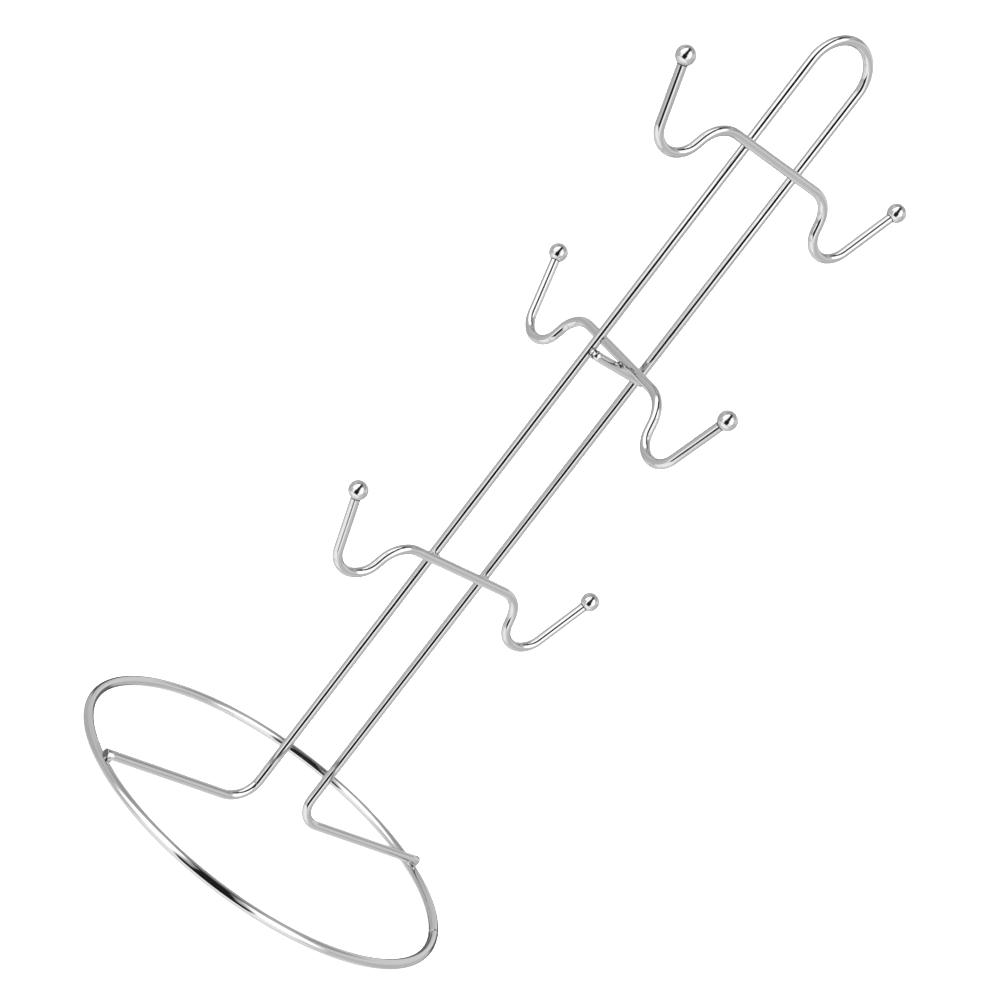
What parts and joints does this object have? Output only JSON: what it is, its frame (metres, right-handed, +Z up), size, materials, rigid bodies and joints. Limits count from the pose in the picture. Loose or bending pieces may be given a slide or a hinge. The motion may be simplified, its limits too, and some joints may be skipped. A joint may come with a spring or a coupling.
{
  "type": "mug tree",
  "caption": "Free-standing tree of bent chrome wire that stands on a ring and holds mugs by their handles on open, ball-ended hooks.",
  "frame": {"origin": "on the table at the centre of the base ring, which is the middle of the bottom of the bounding box", "axes": "+Z is up along the post and is the longest extent; X lies across the post's two uprights and along the top and bottom arms; -Y is the front, where those arms are welded on; the middle arm runs along Y"},
  "size_m": [0.1588, 0.158, 0.354],
  "materials": {
    "chrome_wire": "bright decorative chrome plate over drawn mild steel wire",
    "chrome_ball": "bright chrome plate over a polished steel ball",
    "plated_weld": "chrome plate over rough resistance-weld metal"
  },
  "bodies": {
    "root": {"base_ring": "chrome_wire", "ring_seam_weld": "plated_weld", "post_frame": "chrome_wire", "foot_welds": "plated_weld", "top_arm": "chrome_wire", "top_arm_welds": "plated_weld", "ball_top_left": "chrome_ball", "ball_top_right": "chrome_ball", "crossbar": "chrome_wire", "crossbar_welds": "plated_weld", "middle_arm": "chrome_wire", "middle_arm_weld": "plated_weld", "ball_middle_front": "chrome_ball", "ball_middle_back": "chrome_ball", "bottom_arm": "chrome_wire", "bottom_arm_welds": "plated_weld", "ball_bottom_left": "chrome_ball", "ball_bottom_right": "chrome_ball", "ball_welds": "plated_weld"}
  },
  "joints": []
}
